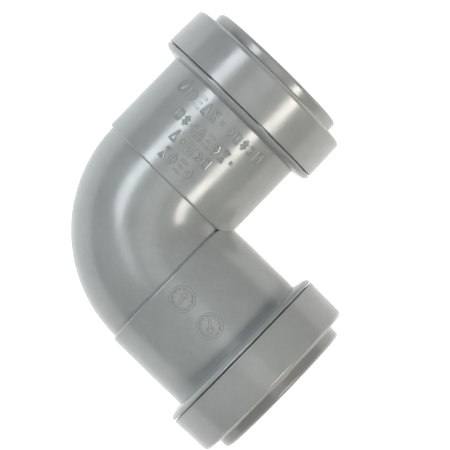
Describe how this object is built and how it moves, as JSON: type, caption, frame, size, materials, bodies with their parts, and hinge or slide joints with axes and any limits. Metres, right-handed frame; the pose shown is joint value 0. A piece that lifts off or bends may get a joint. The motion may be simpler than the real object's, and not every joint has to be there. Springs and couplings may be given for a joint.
{
  "type": "push-fit pipe bend",
  "caption": "Right-angle moulded plastic pipe bend with a push-fit socket at each end, each holding a rubber lip seal under a clip-on cap.",
  "frame": {"origin": "centre of the inlet socket's pipe stop, the plane where the end of a fitted pipe rests", "axes": "+X runs out of the inlet socket along its axis, +Y runs out of the outlet socket parallel to its axis, and +Z is square to the plane of the bend"},
  "size_m": [0.0783, 0.0783, 0.0468],
  "materials": {
    "body_plastic": "moulded grey polypropylene, low gloss",
    "cap_plastic": "moulded grey polypropylene, low gloss",
    "seal_rubber": "matt black rubber"
  },
  "bodies": {
    "fitting": {"elbow_body": "body_plastic", "inlet_seal": "seal_rubber", "outlet_seal": "seal_rubber"},
    "inlet_cap_ring": {"inlet_cap": "cap_plastic"},
    "outlet_cap_ring": {"outlet_cap": "cap_plastic"}
  },
  "joints": [
    {"name": "inlet_cap_turn", "type": "hinge", "parent": "fitting", "child": "inlet_cap_ring", "pos_m": [0.0265, 0, 0], "axis": [1, 0, 0], "continuous": true},
    {"name": "outlet_cap_turn", "type": "hinge", "parent": "fitting", "child": "outlet_cap_ring", "pos_m": [-0.0195, 0.046, 0], "axis": [0, 1, 0], "continuous": true}
  ]
}
